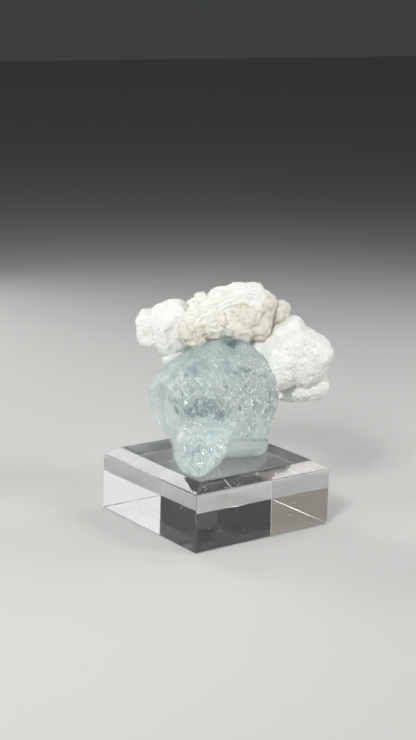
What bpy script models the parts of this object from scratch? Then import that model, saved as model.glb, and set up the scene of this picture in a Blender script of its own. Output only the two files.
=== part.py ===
"""Aquamarine crystal on white albite, set with clear putty on a bevelled acrylic display block.

Four pieces, each its own closed solid, in metres with +Z up:
  acrylic_block        the square display block, its top edges cut to a wide shallow bevel
  mineral_putty        the pressed wad of putty that holds the crystal on the block
  aquamarine_crystal   the etched six-sided crystal with the foot crystal grown onto its front
  albite_matrix        the lumpy white albite that caps the crystal and reaches out on both sides

The origin is the middle of the block's underside, and the block's sides lie along X and Y. The
specimen stands turned on the block: its own frame has x to the right, y away from the viewer and z up,
and an empty turns that frame by DISPLAY_TURN about Z.
"""

import math

import bmesh
import bpy
from mathutils import Euler, Matrix, Vector

MM = 0.001

# --- driving dimensions -------------------------------------------------------------------------
BLOCK_SIDE = 31.75 * MM
BLOCK_HEIGHT = 12.7 * MM
BEVEL_WIDTH = 2.5 * MM
BEVEL_DROP = 1.5 * MM
POLISHED_EDGE = 0.12 * MM

DISPLAY_TURN = math.radians(-36.3)
CONTACT_GAP = 0.3 * MM
SOLE_HEIGHT = BLOCK_HEIGHT + CONTACT_GAP

PUTTY_CENTRE = Vector((0.9, 4.8, 13.9)) * MM
PUTTY_RADII = Vector((9.8, 8.9, 2.7)) * MM
PUTTY_SQUARENESS = 2.6
PUTTY_TRIANGLES = 900

# A crystal is the space inside its faces. Each face: heading of its outward side in degrees (0 to the
# viewer, 90 to the right), lift above level in degrees, and distance from the crystal's heart in mm.
CRYSTAL_HEART = Vector((-0.3, 0.0, 24.0)) * MM
CRYSTAL_FACES = {
    "prism_front": (4, 12, 11.3),
    "prism_front_right": (65, -5, 12.1),
    "prism_back_right": (112, -17, 9.6),
    "prism_back": (180, -6, 10.0),
    "prism_back_left": (-120, -5, 10.8),
    "prism_front_left": (-57, -10, 11.4),
    "crown_front": (8, 48.5, 9.9),
    "crown_front_left": (-34, 52, 10.8),
    "crown_left": (-88, 36, 11.5),
    "crown_top_left": (-80, 61, 10.4),
    "crown_top": (70, 83, 12.9),
    "crown_right": (77, 44, 12.4),
    "crown_shoulder": (87, 19, 12.6),
    "crown_back": (180, 40, 10.2),
    "crown_back_left": (-130, 45, 10.5),
    "crown_back_right": (130, 45, 11.0),
    "root_left": (-80, -47, 11.4),
    "root_front": (12, -75, 8.3),
    "root_right": (98, -66, 9.4),
    "root_back": (180, -45, 10.5),
    "root_base": (10, -86, 9.1),
}
FOOT_HEART = Vector((-4.2, -12.0, 17.0)) * MM
FOOT_FACES = {
    "front": (-4, 12, 5.1),
    "slope": (0, 47, 4.1),
    "top": (0, 90, 5.4),
    "top_left": (-70, 35, 4.2),
    "left": (-83, -3, 3.2),
    "front_left": (-48, 6, 5.3),
    "right": (82, -18, 5.8),
    "back": (180, 0, 7.0),
    "low_left": (-69, -62, 4.2),
    "low_right": (74, -46, 5.0),
    "sole": (0, -90, (FOOT_HEART.z - SOLE_HEIGHT) / MM),
}

# Albite lumps: middle (x, y, z) in mm, radii (x, y, z) in mm, squareness (2 is a ball, more is a
# block), and tilt in degrees about the viewing direction (positive lowers the right end).
ALBITE_LUMPS = {
    "left_block": ((-11.9, 6.0, 36.4), (3.9, 4.0, 3.3), 5.0, -6),
    "left_inner": ((-9.0, 6.0, 36.4), (4.6, 4.6, 4.9), 3.2, -22),
    "left_stem": ((-8.4, 6.0, 30.8), (2.4, 3.6, 3.6), 2.4, 12),
    "left_hump": ((-3.5, 4.6, 42.0), (1.7, 2.2, 1.6), 2.4, -20),
    "crown_ridge": ((2.9, 4.6, 41.9), (6.6, 5.4, 3.4), 2.5, -14),
    "crown_right": ((7.7, 4.0, 41.4), (3.2, 4.4, 3.2), 2.6, 22),
    "crown_tail": ((11.5, 5.5, 39.9), (2.0, 2.8, 2.2), 2.6, 10),
    "shoulder": ((-2.8, 2.6, 39.2), (4.2, 4.2, 3.2), 2.6, -30),
    "roll_left": ((-4.7, 1.2, 36.9), (2.9, 3.3, 3.2), 2.5, 10),
    "roll_middle": ((-0.4, 0.8, 38.5), (3.0, 3.4, 3.0), 2.4, -10),
    "roll_right": ((4.4, 0.3, 39.0), (3.6, 3.4, 3.4), 2.5, 12),
    "roll_end": ((8.0, 0.6, 38.0), (2.0, 2.8, 2.5), 2.4, 20),
    "bridge": ((3.3, 4.0, 35.1), (6.0, 4.0, 3.2), 2.4, 0),
    "slab": ((12.4, 2.6, 35.2), (5.3, 4.2, 2.9), 3.8, -36),
    "slab_tip": ((8.4, 1.6, 34.1), (2.3, 2.8, 1.7), 2.4, -36),
    "block": ((16.2, 2.0, 32.2), (5.3, 5.6, 5.3), 3.4, 32),
    "block_face": ((12.5, 0.2, 30.4), (2.9, 4.2, 4.2), 2.8, 0),
    "block_low": ((17.7, 2.5, 26.5), (3.8, 4.0, 3.0), 2.8, -20),
    "lip": ((14.5, 4.5, 24.3), (3.2, 3.2, 1.7), 2.4, 0),
    "rear_top": ((0.7, 10.0, 37.4), (8.4, 4.8, 4.6), 2.6, 0),
    "rear_middle": ((2.8, 12.0, 31.8), (9.0, 4.2, 5.6), 2.8, 0),
    "rear_right": ((10.8, 9.5, 31.1), (5.6, 4.8, 5.4), 2.8, 0),
    "rear_left": ((-5.9, 10.0, 32.4), (4.6, 4.2, 4.8), 2.8, 0),
}

# --- how finely the natural surfaces are cut ----------------------------------------------------
CRYSTAL_VOXEL = 0.42 * MM
CRYSTAL_TRIANGLES = 3000
ETCH_DEPTH = 0.4 * MM
ETCH_SPACING = 2.6 * MM
STRIATION_STRETCH = 5.0
ALBITE_VOXEL = 0.5 * MM
ALBITE_TRIANGLES = 4600
LUMP_DEPTH = 1.7 * MM
LUMP_SPACING = 3.2 * MM
GRAIN_DEPTH = 0.7 * MM
GRAIN_SPACING = 2.0 * MM
STOCK_SIZE = 80 * MM
WELD_DISTANCE = 0.001 * MM


def clear_scene():
    for item in list(bpy.data.objects):
        bpy.data.objects.remove(item)


def new_collection(name, hidden=False):
    collection = bpy.data.collections.new(name)
    collection.hide_render = hidden
    bpy.context.scene.collection.children.link(collection)
    return collection


def new_object(name, mesh, collection, parent=None):
    item = bpy.data.objects.new(name, mesh)
    collection.objects.link(item)
    item.parent = parent
    return item


def make_cutter(item):
    item.hide_render = True
    item.display_type = "WIRE"
    return item


def new_material(name, colour, roughness, transmission=0.0, ior=1.5):
    material = bpy.data.materials.new(name)
    material.use_nodes = True
    shader = material.node_tree.nodes["Principled BSDF"]
    shader.inputs["Base Color"].default_value = (*colour, 1.0)
    shader.inputs["Roughness"].default_value = roughness
    shader.inputs["Metallic"].default_value = 0.0
    shader.inputs["Transmission Weight"].default_value = transmission
    shader.inputs["IOR"].default_value = ior
    return material


def mesh_from(build, name):
    """Runs build on an empty bmesh and returns what it made as a mesh."""
    made = bmesh.new()
    build(made)
    bmesh.ops.recalc_face_normals(made, faces=made.faces)
    mesh = bpy.data.meshes.new(name)
    made.to_mesh(mesh)
    made.free()
    return mesh


def facing(heading, lift):
    """The outward direction of a face from its heading and lift in degrees."""
    heading, lift = math.radians(heading), math.radians(lift)
    level = math.cos(lift)
    return Vector((math.sin(heading) * level, -math.cos(heading) * level, math.sin(lift)))


def slice_off(made, point, outward):
    """Cuts away everything beyond a plane and closes the cut with a flat face."""
    cut = bmesh.ops.bisect_plane(
        made,
        geom=made.verts[:] + made.edges[:] + made.faces[:],
        dist=1e-7,
        plane_co=point,
        plane_no=outward,
        clear_outer=True,
    )
    rim = [piece for piece in cut["geom_cut"] if isinstance(piece, bmesh.types.BMEdge)]
    bmesh.ops.edgeloop_fill(made, edges=rim)


def faced_mesh(name, heart, faces):
    """A crystal cut from a cube of stock: one flat cut for each of its faces."""

    def build(made):
        bmesh.ops.create_cube(made, size=STOCK_SIZE, matrix=Matrix.Translation(heart))
        for heading, lift, distance in faces.values():
            outward = facing(heading, lift)
            slice_off(made, heart + outward * distance * MM, outward)

    return mesh_from(build, name)


def lump_mesh(name, middle, radii, squareness, tilt):
    """A ball swollen towards a block: each point leaves the middle until sum |p / radius|^n is 1."""
    turned = Euler((0, math.radians(tilt), 0)).to_matrix()

    def build(made):
        bmesh.ops.create_icosphere(made, subdivisions=4, radius=1.0)
        for vert in made.verts:
            size = sum(abs(part) ** squareness for part in vert.co) ** (1 / squareness)
            on_lump = Vector(part / size * radius for part, radius in zip(vert.co, radii))
            vert.co = middle + turned @ on_lump

    return mesh_from(build, name)


def joined_mesh(name, meshes):
    """Several closed meshes in one, still overlapping; a voxel remesh fuses them afterwards."""

    def build(made):
        for mesh in meshes:
            made.from_mesh(mesh)

    return mesh_from(build, name)


def boolean(item, operation, other):
    modifier = item.modifiers.new(f"{operation.lower()}_{other.name}", "BOOLEAN")
    modifier.operation = operation
    modifier.object = other


def remesh(item, voxel):
    modifier = item.modifiers.new("fuse", "REMESH")
    modifier.mode = "VOXEL"
    modifier.voxel_size = voxel


def soften(item, factor, repeats):
    modifier = item.modifiers.new("soften", "SMOOTH")
    modifier.factor = factor
    modifier.iterations = repeats


def relief(item, name, kind, spacing, depth, guide=None):
    """Moves the surface in and out by a noise of the given spacing, read in the guide's own axes."""
    texture = bpy.data.textures.new(name, kind)
    texture.noise_scale = spacing if guide is None else 1.0
    modifier = item.modifiers.new(name, "DISPLACE")
    modifier.texture = texture
    modifier.strength = depth
    modifier.mid_level = 0.5
    if guide is not None:
        modifier.texture_coords = "OBJECT"
        modifier.texture_coords_object = guide


def evaluated_mesh(item):
    graph = bpy.context.evaluated_depsgraph_get()
    return bpy.data.meshes.new_from_object(item.evaluated_get(graph))


def thin_out(item, triangles):
    """Collapses edges down to about this many triangles, most of them kept where the form bends."""
    dense = evaluated_mesh(item)
    count = sum(len(face.vertices) - 2 for face in dense.polygons)
    bpy.data.meshes.remove(dense)
    modifier = item.modifiers.new("thin_out", "DECIMATE")
    modifier.ratio = min(1.0, triangles / count)
    modifier.use_collapse_triangulate = True


def settle(item):
    """Replaces the object's mesh by its evaluated one and keeps only its largest connected body."""
    mesh = evaluated_mesh(item)
    item.modifiers.clear()
    item.data = mesh
    made = bmesh.new()
    made.from_mesh(mesh)
    bmesh.ops.remove_doubles(made, verts=made.verts, dist=WELD_DISTANCE)
    bodies = []
    waiting = set(made.verts)
    while waiting:
        body, edge_of_body = set(), {waiting.pop()}
        while edge_of_body:
            body |= edge_of_body
            near = {edge.other_vert(vert) for vert in edge_of_body for edge in vert.link_edges}
            edge_of_body = near - body
        waiting -= body
        bodies.append(body)
    bodies.sort(key=len)
    crumbs = [vert for body in bodies[:-1] for vert in body]
    bmesh.ops.delete(made, geom=crumbs, context="VERTS")
    made.to_mesh(mesh)
    made.free()


def make_guide(name, spacing, stretch, parent, collection):
    """An empty whose scale sets a noise's size, stretched along Z."""
    guide = new_object(name, None, collection, parent)
    guide.scale = (spacing, spacing, spacing * stretch)
    return guide


def make_block(collection):
    """A square block whose top is inset and raised, so that a shallow bevel runs round it."""

    def build(made):
        straight = BLOCK_HEIGHT - BEVEL_DROP
        size = Matrix.Diagonal((BLOCK_SIDE, BLOCK_SIDE, straight, 1))
        middle = Matrix.Translation((0, 0, straight / 2))
        bmesh.ops.create_cube(made, size=1.0, matrix=middle @ size)
        top = max(made.faces, key=lambda face: face.calc_center_median().z)
        bmesh.ops.inset_region(
            made, faces=[top], thickness=BEVEL_WIDTH, depth=BEVEL_DROP, use_even_offset=True
        )

    block = new_object("acrylic_block", mesh_from(build, "acrylic_block"), collection)
    rounding = block.modifiers.new("polished_edges", "BEVEL")
    rounding.width = POLISHED_EDGE
    rounding.segments = 2
    rounding.limit_method = "ANGLE"
    rounding.angle_limit = math.radians(20)
    return block


def make_crystal(collection, cutters, specimen):
    """The main crystal and its foot joined, then etched: striated down the prism, pitted all over."""
    crystal = new_object(
        "aquamarine_crystal",
        faced_mesh("aquamarine_crystal", CRYSTAL_HEART, CRYSTAL_FACES),
        collection,
        specimen,
    )
    foot_mesh = faced_mesh("foot_crystal", FOOT_HEART, FOOT_FACES)
    foot = make_cutter(new_object("foot_crystal", foot_mesh, cutters, specimen))
    stretched = make_guide("striation_guide", ETCH_SPACING, STRIATION_STRETCH, specimen, cutters)
    boolean(crystal, "UNION", foot)
    remesh(crystal, CRYSTAL_VOXEL)
    soften(crystal, 0.5, 1)
    relief(crystal, "striations", "CLOUDS", ETCH_SPACING, ETCH_DEPTH, stretched)
    relief(crystal, "etch_pits", "VORONOI", ETCH_SPACING, ETCH_DEPTH)
    thin_out(crystal, CRYSTAL_TRIANGLES)
    settle(crystal)
    return crystal


def make_clearance(crystal, cutters, specimen):
    """The crystal grown by the contact gap, which its neighbours are cut back from."""
    clearance = new_object("crystal_clearance", crystal.data.copy(), cutters, specimen)
    swell = clearance.modifiers.new("swell", "DISPLACE")
    swell.strength = CONTACT_GAP * 1.2
    swell.mid_level = 0.0
    return make_cutter(clearance)


def make_putty(collection, specimen, clearance):
    """A pressed wad of putty: a squat lump cut flat where it sits, and hollowed by the crystal."""

    def build(made):
        made.from_mesh(lump_mesh("wad", PUTTY_CENTRE, PUTTY_RADII, PUTTY_SQUARENESS, 0))
        slice_off(made, Vector((0, 0, SOLE_HEIGHT)), Vector((0, 0, -1)))

    putty = new_object("mineral_putty", mesh_from(build, "mineral_putty"), collection, specimen)
    thin_out(putty, PUTTY_TRIANGLES)
    boolean(putty, "DIFFERENCE", clearance)
    settle(putty)
    return putty


def make_albite(collection, specimen, clearance):
    """The lumps fused, roughened at two sizes, and cut back from the crystal they cap."""
    lumps = [
        lump_mesh(name, Vector(middle) * MM, Vector(radii) * MM, squareness, tilt)
        for name, (middle, radii, squareness, tilt) in ALBITE_LUMPS.items()
    ]
    mesh = joined_mesh("albite_matrix", lumps)
    albite = new_object("albite_matrix", mesh, collection, specimen)
    remesh(albite, ALBITE_VOXEL)
    soften(albite, 0.5, 2)
    relief(albite, "albite_lumps", "CLOUDS", LUMP_SPACING, LUMP_DEPTH)
    relief(albite, "albite_grains", "VORONOI", GRAIN_SPACING, GRAIN_DEPTH)
    soften(albite, 0.5, 1)
    thin_out(albite, ALBITE_TRIANGLES)
    boolean(albite, "DIFFERENCE", clearance)
    settle(albite)
    return albite


def main():
    clear_scene()
    parts = new_collection("aquamarine_specimen")
    cutters = new_collection("cutters", hidden=True)
    specimen = new_object("specimen_turn", None, parts)
    specimen.rotation_euler.z = DISPLAY_TURN

    block = make_block(parts)
    crystal = make_crystal(parts, cutters, specimen)
    clearance = make_clearance(crystal, cutters, specimen)
    putty = make_putty(parts, specimen, clearance)
    albite = make_albite(parts, specimen, clearance)

    looks = (
        (block, new_material("cast_acrylic", (0.95, 0.96, 0.96), 0.03, 1.0, 1.49)),
        (putty, new_material("clear_putty", (0.55, 0.60, 0.67), 0.35)),
        (crystal, new_material("aquamarine", (0.62, 0.75, 0.74), 0.25, 0.5, 1.577)),
        (albite, new_material("albite", (0.86, 0.86, 0.81), 0.75)),
    )
    for item, material in looks:
        item.data.materials.clear()
        item.data.materials.append(material)


main()
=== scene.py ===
# %% [markdown]
# # An aquamarine on albite, standing on a bevelled acrylic block
#
# This lesson dresses a small mineral specimen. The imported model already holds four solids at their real
# size: the display block, the wad of mineral putty, the aquamarine and the albite. Their flat faces are
# right, but stone is more than flat faces. Each natural piece is worked out again here as a fine surface
# in the same place, and every surface gets the material that the real one has.

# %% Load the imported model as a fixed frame
import itertools
import math

import bmesh
import bpy
import numpy as np
from mathutils import Matrix, Vector


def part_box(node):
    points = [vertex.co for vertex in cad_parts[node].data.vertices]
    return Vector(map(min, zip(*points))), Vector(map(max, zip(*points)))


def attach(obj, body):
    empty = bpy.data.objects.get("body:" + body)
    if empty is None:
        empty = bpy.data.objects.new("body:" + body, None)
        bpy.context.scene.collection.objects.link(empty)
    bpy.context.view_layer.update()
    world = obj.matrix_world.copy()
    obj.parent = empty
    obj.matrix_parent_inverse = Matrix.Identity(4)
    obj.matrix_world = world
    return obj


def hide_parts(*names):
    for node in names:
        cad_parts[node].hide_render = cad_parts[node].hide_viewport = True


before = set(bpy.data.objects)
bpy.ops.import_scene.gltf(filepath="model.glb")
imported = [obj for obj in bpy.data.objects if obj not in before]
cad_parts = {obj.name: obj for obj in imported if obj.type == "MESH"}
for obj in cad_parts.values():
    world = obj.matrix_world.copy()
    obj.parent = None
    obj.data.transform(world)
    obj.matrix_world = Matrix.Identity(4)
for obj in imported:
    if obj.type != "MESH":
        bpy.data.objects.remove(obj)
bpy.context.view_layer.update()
MM = 0.001
print("frame nodes:", ", ".join(sorted(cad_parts)))

# %% [markdown]
# ## Where the specimen stands
#
# The block's sides lie along X and Y. The specimen was pressed onto it cornerwise, so the stone has a
# frame of its own: x to the viewer's right, y away from the viewer, z up, in millimetres. Working in that
# frame keeps every number below readable. One turn about Z takes its points to the world in metres.
# Finished meshes should sit at the origin unturned, so the turn is applied to the points themselves.

# %% The specimen's own frame
DISPLAY_TURN = math.radians(-36.3)
BLOCK_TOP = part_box("acrylic_block")[1][2] / MM
TURN = np.array(
    [
        [math.cos(DISPLAY_TURN), math.sin(DISPLAY_TURN), 0.0],
        [-math.sin(DISPLAY_TURN), math.cos(DISPLAY_TURN), 0.0],
        [0.0, 0.0, 1.0],
    ]
)


def to_world(points_mm):
    """Specimen millimetres to world metres: the rows times the turn, then times 0.001."""
    return np.asarray(points_mm, float) @ TURN * MM


def to_specimen(points_m):
    """World metres back to specimen millimetres."""
    return np.asarray(points_m, float) / MM @ TURN.T


print("block top at", round(BLOCK_TOP, 2), "mm")

# %% [markdown]
# ## The camera
#
# A specimen this small is best seen through a long lens from about 30 cm, a little above the table. The
# camera is built from angles that are easy to note down: how far round, how far up, how much it is rolled,
# and how far away. Its three axes follow by cross products, which is safer than chaining Euler angles.

# %% Camera
VIEW_AZIMUTH = math.radians(-36.2891)
VIEW_ELEVATION = math.radians(13.7549)
VIEW_ROLL = math.radians(1.3029)
VIEW_DISTANCE = 316.8
VIEW_PAN = (1.197, -28.67)
LENS_MM, SENSOR_MM = 77.84, 36.0


def camera_axes():
    """Right, up and backward directions of a camera at the azimuth and elevation, after its roll."""
    flat = math.cos(VIEW_ELEVATION)
    back = Vector(
        (math.sin(VIEW_AZIMUTH) * flat, -math.cos(VIEW_AZIMUTH) * flat, math.sin(VIEW_ELEVATION))
    )
    level_right = (-back).cross(Vector((0, 0, 1))).normalized()
    level_up = level_right.cross(-back)
    right = level_right * math.cos(VIEW_ROLL) + level_up * math.sin(VIEW_ROLL)
    up = level_up * math.cos(VIEW_ROLL) - level_right * math.sin(VIEW_ROLL)
    return right, up, back


def new_piece(name, data):
    """A new object in the scene, for a mesh, a camera or a light."""
    piece = bpy.data.objects.new(name, data)
    bpy.context.scene.collection.objects.link(piece)
    return piece


def make_camera():
    right, up, back = camera_axes()
    place = (back * VIEW_DISTANCE - right * VIEW_PAN[0] - up * VIEW_PAN[1]) * MM
    data = bpy.data.cameras.new("specimen_camera")
    data.lens = LENS_MM
    data.sensor_width = SENSOR_MM
    data.clip_start = 0.01
    camera = new_piece("specimen_camera", data)
    turned = Matrix((right, up, back)).transposed().to_4x4()
    camera.matrix_world = Matrix.Translation(place) @ turned
    bpy.context.scene.camera = camera
    return camera


camera = make_camera()
print("camera at", [round(part, 4) for part in camera.matrix_world.translation])

# %% [markdown]
# ## A helper for node materials
#
# Every material below is a Principled shader with a few nodes feeding it. One function adds a node, sets
# it and links it, so that a material reads as a list of what it is made of. Colours are sRGB hex values,
# as on a colour card, and one function turns them to the linear values that Blender wants.

# %% Nodes and colours


def linear(hex_colour):
    """An sRGB hex colour as a linear RGBA tuple: x/12.92 for the darkest tones, a 2.4 power above."""
    channels = [int(hex_colour[start : start + 2], 16) / 255 for start in (1, 3, 5)]
    light = [c / 12.92 if c <= 0.04045 else ((c + 0.055) / 1.055) ** 2.4 for c in channels]
    return (*light, 1.0)


def feed(node, inputs):
    """Sets a node's inputs: each is a value, or the (node, output) that it is linked to."""
    for name, value in inputs.items():
        socket = node.inputs[name]
        if isinstance(value, tuple) and isinstance(value[0], bpy.types.Node):
            node.id_data.links.new(value[0].outputs[value[1]], socket)
        else:
            socket.default_value = value


def add(tree, kind, inputs=None, stops=(), **settings):
    """Adds a node, with its inputs, a ramp's stops as (position, hex colour) and its own properties."""
    node = tree.nodes.new("ShaderNode" + kind)
    for name, value in settings.items():
        setattr(node, name, value)
    feed(node, inputs or {})
    points = node.color_ramp.elements if stops else []
    while len(points) < len(stops):
        points.new(0.5)
    for point, (position, colour) in zip(points, stops):
        point.position, point.color = position, linear(colour)
    return node


def new_material(name, constants):
    """A Principled material, with the constants set on the shader's own sockets."""
    material = bpy.data.materials.new(name)
    material.use_nodes = True
    shader = material.node_tree.nodes["Principled BSDF"]
    feed(shader, constants)
    return material, material.node_tree, shader


def per_mm(size_mm):
    """The Scale that gives a texture features of this size, since Object coordinates are in metres."""
    return 1.0 / (size_mm * MM)


# %% [markdown]
# ## Noise that numpy can reach
#
# Stone gets its look from relief at several sizes at once. Blender's own noise lives in its textures, out
# of numpy's reach, so three small fields are written here. The first is smooth: random numbers on a
# lattice, blended between lattice points. The second scatters one point in every cell of the lattice and
# measures the distance to the nearest, which gives grains, pits and bulges. The third tilts a small plane
# about each of those points, which gives facets.

# %% Smooth, grain and facet noise
LATTICE = 32
chance = np.random.default_rng(20)
lattice_values = chance.random((LATTICE, LATTICE, LATTICE)) * 2 - 1
lattice_points = chance.random((LATTICE, LATTICE, LATTICE, 3))


def smooth_noise(points, spacing, seed=0):
    """Values in about -1..1: the eight lattice values around each point, blended by 3t^2 - 2t^3."""
    scaled = points / spacing + 11.3 * (seed + 1)
    cell = np.floor(scaled).astype(int)
    part = scaled - cell
    part = part * part * (3 - 2 * part)
    total = np.zeros(len(points))
    for dx, dy, dz in itertools.product((0, 1), repeat=3):
        corner = (cell + (dx, dy, dz)) % LATTICE
        share = np.abs(1 - dx - part[:, 0]) * np.abs(1 - dy - part[:, 1])
        share = share * np.abs(1 - dz - part[:, 2])
        total += share * lattice_values[corner[:, 0], corner[:, 1], corner[:, 2]]
    return total


def rough_noise(points, spacing, octaves=3, seed=0):
    """Smooth noises added up, each half the size and half the height of the one before."""
    total = np.zeros(len(points))
    for octave in range(octaves):
        total += smooth_noise(points, spacing / 2**octave, seed + octave) / 2**octave
    return total


def cells_around(scaled):
    """The 27 lattice cells round each point in turn: the cell's corner and its point's place in it."""
    cell = np.floor(scaled).astype(int)
    for step in itertools.product((-1, 0, 1), repeat=3):
        corner = cell + step
        wrapped = corner % LATTICE
        yield corner, lattice_points[wrapped[:, 0], wrapped[:, 1], wrapped[:, 2]]


def grain_noise(points, spacing, seed=0):
    """Distance, in spacings, to the nearest scattered point."""
    scaled = points / spacing + 7.7 * (seed + 1)
    near = np.full(len(points), 9.0)
    for corner, share in cells_around(scaled):
        near = np.minimum(near, np.linalg.norm(corner + share - scaled, axis=1))
    return near


def facet_noise(points, spacing, seed=0):
    """A patchwork of small tilted planes: in each grain, the offset from its point times a random tilt."""
    scaled = points / spacing + 5.1 * (seed + 1)
    near = np.full(len(points), 9.0)
    height = np.zeros(len(points))
    for corner, share in cells_around(scaled):
        offset = scaled - corner - share
        gap = np.linalg.norm(offset, axis=1)
        tilt = (share[:, [1, 2, 0]] * 7.3) % 1 * 2 - 1
        height = np.where(gap < near, (offset * tilt).sum(1), height)
        near = np.minimum(near, gap)
    return height


print("noise fields on a lattice of", LATTICE)

# %% [markdown]
# ## Building, fusing and reading meshes
#
# A surface of two parameters is a grid of points whose last column joins the first and whose end rows
# are single poles. Where several such surfaces overlap, Blender's voxel Remesh turns them into one skin,
# as if they had grown together. After that, the points and their normals are read back into numpy, moved,
# and written again.

# %% Mesh helpers


def unit(vectors):
    """Each vector divided by its length."""
    return vectors / np.linalg.norm(vectors, axis=-1, keepdims=True)


def closed_grid_mesh(name, points):
    """A closed skin from points[row, column]; the first and last rows are poles, columns wrap round."""
    rows, columns = points.shape[:2]
    ring = points[1:-1].reshape(-1, 3)
    vertices = np.vstack([points[0, :1], ring, points[-1, :1]])
    row, column = np.meshgrid(np.arange(rows - 3), np.arange(columns), indexing="ij")
    here = 1 + row * columns + column
    beside = 1 + row * columns + (column + 1) % columns
    quads = np.stack([here, here + columns, beside + columns, beside], axis=-1).reshape(-1, 4)
    first = 1 + np.arange(columns)
    first_next = 1 + (np.arange(columns) + 1) % columns
    last = first + (rows - 3) * columns
    last_next = first_next + (rows - 3) * columns
    top = np.stack([np.zeros_like(first), first, first_next], axis=-1)
    bottom = np.stack([np.full_like(last, len(vertices) - 1), last_next, last], axis=-1)
    mesh = bpy.data.meshes.new(name)
    faces = quads.tolist() + top.tolist() + bottom.tolist()
    mesh.from_pydata(to_world(vertices).tolist(), [], faces)
    return mesh


def applied(piece):
    """Bakes the modifiers into the mesh."""
    graph = bpy.context.evaluated_depsgraph_get()
    mesh = bpy.data.meshes.new_from_object(piece.evaluated_get(graph))
    piece.modifiers.clear()
    piece.data = mesh
    return piece


def joined(name, meshes):
    """One mesh from several, still overlapping."""
    collected = bmesh.new()
    for mesh in meshes:
        collected.from_mesh(mesh)
        bpy.data.meshes.remove(mesh)
    mesh = bpy.data.meshes.new(name)
    collected.to_mesh(mesh)
    collected.free()
    return mesh


def fused(name, meshes, voxel_mm):
    """Overlapping skins remeshed into one, with voxels of the given size."""
    piece = new_piece(name, joined(name, meshes))
    remesh = piece.modifiers.new("fuse", "REMESH")
    remesh.mode = "VOXEL"
    remesh.voxel_size = voxel_mm * MM
    return applied(piece)


def read_points(piece):
    """Positions in specimen millimetres and unit normals in the specimen frame."""
    mesh = piece.data
    flat = np.empty(len(mesh.vertices) * 3)
    mesh.vertices.foreach_get("co", flat)
    normals = np.empty(len(mesh.vertices) * 3)
    mesh.vertex_normals.foreach_get("vector", normals)
    return to_specimen(flat.reshape(-1, 3)), normals.reshape(-1, 3) @ TURN.T


def write_points(piece, points):
    piece.data.vertices.foreach_set("co", to_world(points).ravel())
    piece.data.update()


def write_attribute(piece, name, values):
    """One number per point, for a material to read."""
    attribute = piece.data.attributes.new(name, "FLOAT", "POINT")
    attribute.data.foreach_set("value", np.clip(values, 0, 1).astype(np.float32))


def triangle_count(piece):
    return sum(len(face.vertices) - 2 for face in piece.data.polygons)


def dress(piece, material):
    """Gives the piece its material, smooth shading and its body."""
    piece.data.materials.clear()
    piece.data.materials.append(material)
    piece.data.shade_smooth()
    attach(piece, "root")
    print(f"{piece.name}: {triangle_count(piece)} triangles")


# %% [markdown]
# ## The aquamarine's form
#
# Beryl grows as a six-sided prism with sloping faces round its end, and this crystal was later eaten by
# hot fluid, which rounded its edges. A crystal could be cut from a cube, one plane at a time, but a
# formula does it in one go: in any direction from the crystal's heart, the surface is at the nearest
# face. Taking that minimum softly, with a high power, rounds the edges as etching does.

# %% Faces of the crystal: heading of the outward side, lift above level (degrees), distance (mm)
CRYSTAL_HEART = np.array((-0.3, 0.0, 24.0))
CRYSTAL_FACES = {
    "prism_front": (4, 12, 11.3),
    "prism_front_right": (65, -5, 12.1),
    "prism_back_right": (112, -17, 9.6),
    "prism_back": (180, -6, 10.0),
    "prism_back_left": (-120, -5, 10.8),
    "prism_front_left": (-57, -10, 11.4),
    "crown_front": (8, 48.5, 9.9),
    "crown_front_left": (-34, 52, 10.8),
    "crown_left": (-88, 36, 11.5),
    "crown_top_left": (-80, 61, 10.4),
    "crown_top": (70, 83, 12.9),
    "crown_right": (77, 44, 12.4),
    "crown_shoulder": (87, 19, 12.6),
    "crown_back": (180, 40, 10.2),
    "crown_back_left": (-130, 45, 10.5),
    "crown_back_right": (130, 45, 11.0),
    "root_left": (-80, -47, 11.4),
    "root_front": (12, -75, 8.3),
    "root_right": (98, -66, 9.4),
    "root_back": (180, -45, 10.5),
    "root_base": (10, -86, 9.1),
}
FOOT_HEART = np.array((-4.2, -12.0, 17.0))
SOLE_HEIGHT = BLOCK_TOP + 0.1
FOOT_FACES = {
    "front": (-4, 12, 5.1),
    "slope": (0, 47, 4.1),
    "top": (0, 90, 5.4),
    "top_left": (-70, 35, 4.2),
    "left": (-83, -3, 3.2),
    "front_left": (-48, 6, 5.3),
    "right": (82, -18, 5.8),
    "back": (180, 0, 7.0),
    "low_left": (-69, -62, 4.2),
    "low_right": (74, -46, 5.0),
    "sole": (0, -90, FOOT_HEART[2] - SOLE_HEIGHT),
}


def outward(heading, lift):
    """Unit normal of a face: heading 0 looks at the viewer and 90 to the right; lift 90 looks up."""
    heading, lift = np.radians(heading), np.radians(lift)
    level = np.cos(lift)
    return np.array([np.sin(heading) * level, -np.cos(heading) * level, np.sin(lift)])


def sphere(rows, columns):
    """Unit directions by two parameters, the angle from the top and the angle round."""
    polar = np.linspace(0, np.pi, rows)[:, None]
    around = np.linspace(0, 2 * np.pi, columns, endpoint=False)[None, :]
    level = np.sin(polar)
    return np.stack([level * np.cos(around), level * np.sin(around), np.cos(polar) + 0 * around], axis=-1)


def faced_ball(heart, faces, sharpness, rows=180, columns=360):
    """Points heart + r d for directions d; 1/r sums (d . n) / distance to a high power over the faces
    that d meets, and takes the root."""
    direction = sphere(rows, columns)
    total = np.zeros(direction.shape[:2])
    for heading, lift, distance in faces.values():
        facing = direction @ outward(heading, lift)
        total += np.clip(facing / distance, 0, None) ** sharpness
    return heart + direction * (total ** (-1 / sharpness))[..., None]


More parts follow.
